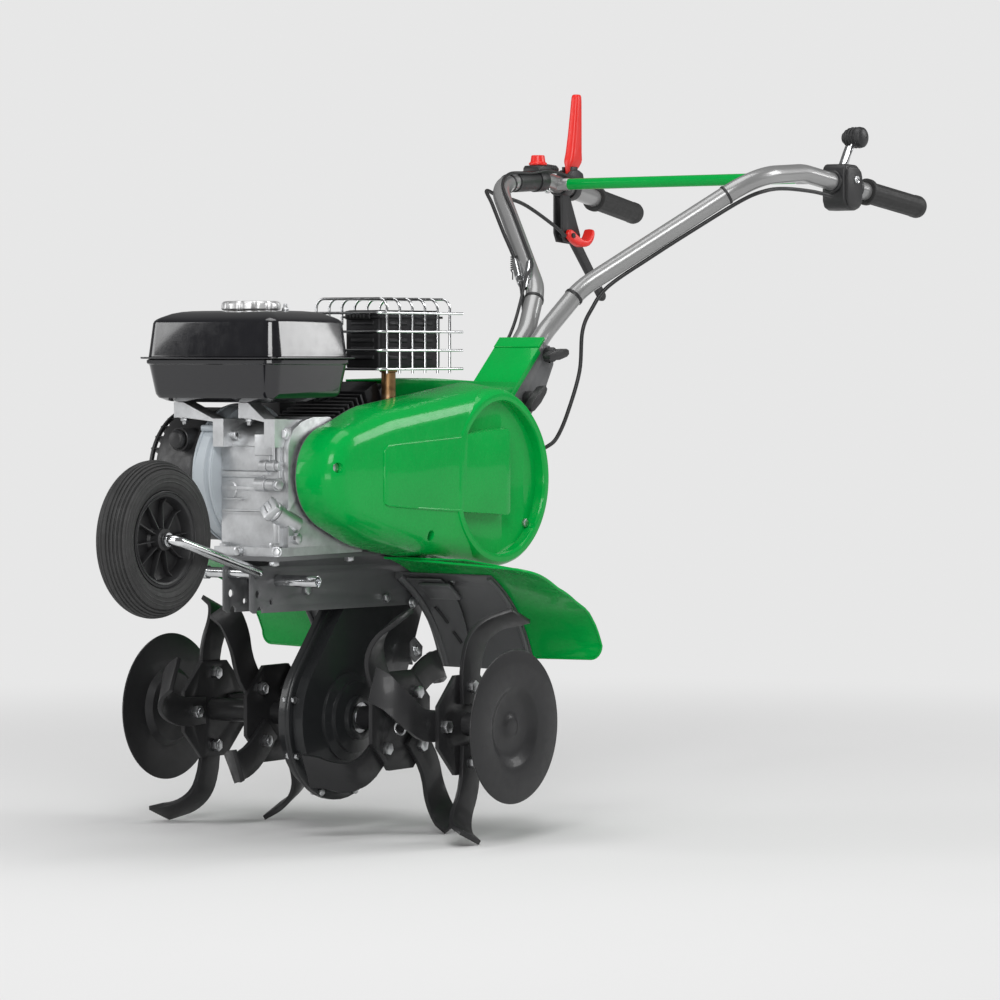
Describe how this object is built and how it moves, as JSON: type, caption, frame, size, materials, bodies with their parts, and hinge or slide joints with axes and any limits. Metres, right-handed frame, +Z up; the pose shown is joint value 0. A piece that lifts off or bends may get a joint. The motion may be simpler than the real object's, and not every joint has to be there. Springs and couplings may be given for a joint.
{
  "type": "garden tiller",
  "caption": "Walk-behind petrol garden tiller with belt drive under a green cover, chain case, curved tines, side discs, folding transport wheel and tilting handlebar.",
  "frame": {"origin": "on the ground under the middle of the machine's length and width", "axes": "+X to the machine's left, the belt cover's side; -Y forward, towards the transport wheel; +Z up"},
  "size_m": [0.608, 1.7026, 1.0876],
  "materials": {
    "black_plastic": "matte",
    "bronze": "heat stained",
    "case_paint": "satin",
    "cast_alloy": "as cast",
    "charcoal_paint": "satin",
    "chrome": "polished",
    "green_paint": "gloss",
    "iron": "black",
    "red_plastic": "gloss",
    "rubber": "matte",
    "shroud": "satin",
    "steel": "zinc plated",
    "tank_paint": "gloss",
    "tine_paint": "satin",
    "tube_paint": "metallic gloss",
    "tyre": "ribbed"
  },
  "bodies": {
    "chassis": {"chassis_frame": "charcoal_paint", "case_left": "case_paint", "case_right": "case_paint", "gearbox_bearings": "steel", "drive_chains": "steel", "crankcase": "cast_alloy", "crankcase_cover": "cast_alloy", "engine_block": "iron", "rocker_cover": "case_paint", "blower_housing": "shroud", "recoil_cover": "black_plastic", "fuel_tank": "tank_paint", "muffler": "case_paint", "muffler_guard": "chrome", "exhaust_pipe": "bronze", "carburettor": "cast_alloy", "air_cleaner": "black_plastic", "spark_plug": "black_plastic", "belt_backplate": "charcoal_paint", "belt_cover": "green_paint", "drive_belt": "rubber", "frame_fasteners": "steel", "rear_guards": "charcoal_paint", "fenders": "green_paint", "column_bracket": "charcoal_paint", "column_cover": "green_paint", "stop_tube": "chrome"},
    "tine_rotor": {"tine_shaft": "steel", "tine_hubs": "tine_paint", "tines_left": "tine_paint", "tines_right": "tine_paint", "rotor_fasteners": "steel", "side_discs": "tine_paint"},
    "countershaft": {"countershaft": "steel"},
    "input_drive": {"input_shaft": "steel", "driven_pulley": "steel"},
    "crank": {"crankshaft": "steel", "flywheel": "steel", "drive_pulley": "steel"},
    "idler": {"idler_arm": "steel"},
    "handlebar": {"handle_clamp": "charcoal_paint", "handle_tubes": "tube_paint", "cross_bar": "green_paint", "handle_grips": "rubber", "lever_clamps": "black_plastic", "selector_box": "black_plastic", "control_cables": "rubber"},
    "clutch_lever": {"clutch_lever": "black_plastic"},
    "safety_latch": {"safety_latch": "red_plastic"},
    "reverse_lever": {"reverse_lever": "red_plastic"},
    "throttle_knob": {"throttle_knob": "red_plastic"},
    "gear_lever": {"gear_lever": "black_plastic"},
    "wheel_arm": {"wheel_arm": "chrome"},
    "wheel": {"wheel_rim": "black_plastic", "tyre": "tyre"},
    "fuel_cap": {"fuel_cap": "steel"},
    "oil_dipstick": {"oil_dipstick": "cast_alloy"},
    "starter_grip": {"starter_grip": "black_plastic"},
    "upper_knob": {"upper_wing_knob": "black_plastic"},
    "lower_knob": {"lower_wing_knob": "black_plastic"}
  },
  "joints": [
    {"name": "tine_spin", "type": "hinge", "parent": "chassis", "child": "tine_rotor", "pos_m": [0, -0.34466, 0.16025], "axis": [1, 0, 0], "continuous": true},
    {"name": "counter_spin", "type": "hinge", "parent": "chassis", "child": "countershaft", "pos_m": [0, -0.23124, 0.34317], "axis": [1, 0, 0], "continuous": true},
    {"name": "input_spin", "type": "hinge", "parent": "chassis", "child": "input_drive", "pos_m": [0, -0.14066, 0.48925], "axis": [1, 0, 0], "continuous": true},
    {"name": "crank_spin", "type": "hinge", "parent": "chassis", "child": "crank", "pos_m": [0, -0.47266, 0.50225], "axis": [1, 0, 0], "continuous": true},
    {"name": "idler_swing", "type": "hinge", "parent": "chassis", "child": "idler", "pos_m": [0, -0.37466, 0.50425], "axis": [1, 0, 0], "range_deg": [-6, 0]},
    {"name": "handle_tilt", "type": "hinge", "parent": "chassis", "child": "handlebar", "pos_m": [0, 0.07334, 0.60225], "axis": [1, 0, 0], "range_deg": [-6, 0]},
    {"name": "clutch_squeeze", "type": "hinge", "parent": "handlebar", "child": "clutch_lever", "pos_m": [-0.24305, 0.62134, 0.85484], "axis": [1, 0, 0], "range_deg": [0, 50], "stiffness_Nm_per_rad": 0.6, "springref_deg": -11.46},
    {"name": "latch_press", "type": "hinge", "parent": "handlebar", "child": "safety_latch", "pos_m": [-0.24305, 0.59334, 0.85884], "axis": [1, 0, 0], "range_deg": [0, 20], "stiffness_Nm_per_rad": 0.2, "springref_deg": -11.46},
    {"name": "reverse_pull", "type": "hinge", "parent": "handlebar", "child": "reverse_lever", "pos_m": [-0.24596, 0.61734, 0.96357], "axis": [-1, 0, 0], "range_deg": [0, 40], "stiffness_Nm_per_rad": 0.6, "springref_deg": -14.32},
    {"name": "throttle_turn", "type": "hinge", "parent": "handlebar", "child": "throttle_knob", "pos_m": [-0.238, 0.51334, 0.97681], "axis": [0, 0, 1], "range_deg": [-45, 45]},
    {"name": "gear_shift", "type": "hinge", "parent": "handlebar", "child": "gear_lever", "pos_m": [0.24829, 0.64134, 0.95515], "axis": [1, 0, 0], "range_deg": [-20, 20]},
    {"name": "wheel_swing", "type": "hinge", "parent": "chassis", "child": "wheel_arm", "pos_m": [0, -0.55866, 0.37025], "axis": [1, 0, 0], "range_deg": [0, 75]},
    {"name": "wheel_roll", "type": "hinge", "parent": "wheel_arm", "child": "wheel", "pos_m": [0, -0.74533, 0.42307], "axis": [1, 0, 0], "continuous": true},
    {"name": "fuel_cap_turn", "type": "hinge", "parent": "chassis", "child": "fuel_cap", "pos_m": [-0.033, -0.49566, 0.73325], "axis": [0, 0, 1], "range_deg": [-90, 0]},
    {"name": "dipstick_turn", "type": "hinge", "parent": "chassis", "child": "oil_dipstick", "pos_m": [0.05665, -0.5594, 0.45455], "axis": [-0.2026, -0.8612, 0.4661], "range_deg": [-90, 0]},
    {"name": "starter_pull", "type": "slide", "parent": "chassis", "child": "starter_grip", "axis": [0, -1, 0], "range_m": [0, 0.05], "stiffness_N_per_m": 60, "springref_m": -0.1},
    {"name": "upper_knob_turn", "type": "hinge", "parent": "handlebar", "child": "upper_knob", "pos_m": [0, 0.12734, 0.66725], "axis": [1, 0, 0], "continuous": true},
    {"name": "lower_knob_turn", "type": "hinge", "parent": "chassis", "child": "lower_knob", "pos_m": [0, 0.07334, 0.60225], "axis": [1, 0, 0], "continuous": true}
  ],
  "couplings": [
    {"joint": "counter_spin", "follows": "tine_spin", "ratio": 4},
    {"joint": "input_spin", "follows": "tine_spin", "ratio": 12},
    {"joint": "idler_swing", "follows": "clutch_squeeze", "ratio": -0.09}
  ]
}
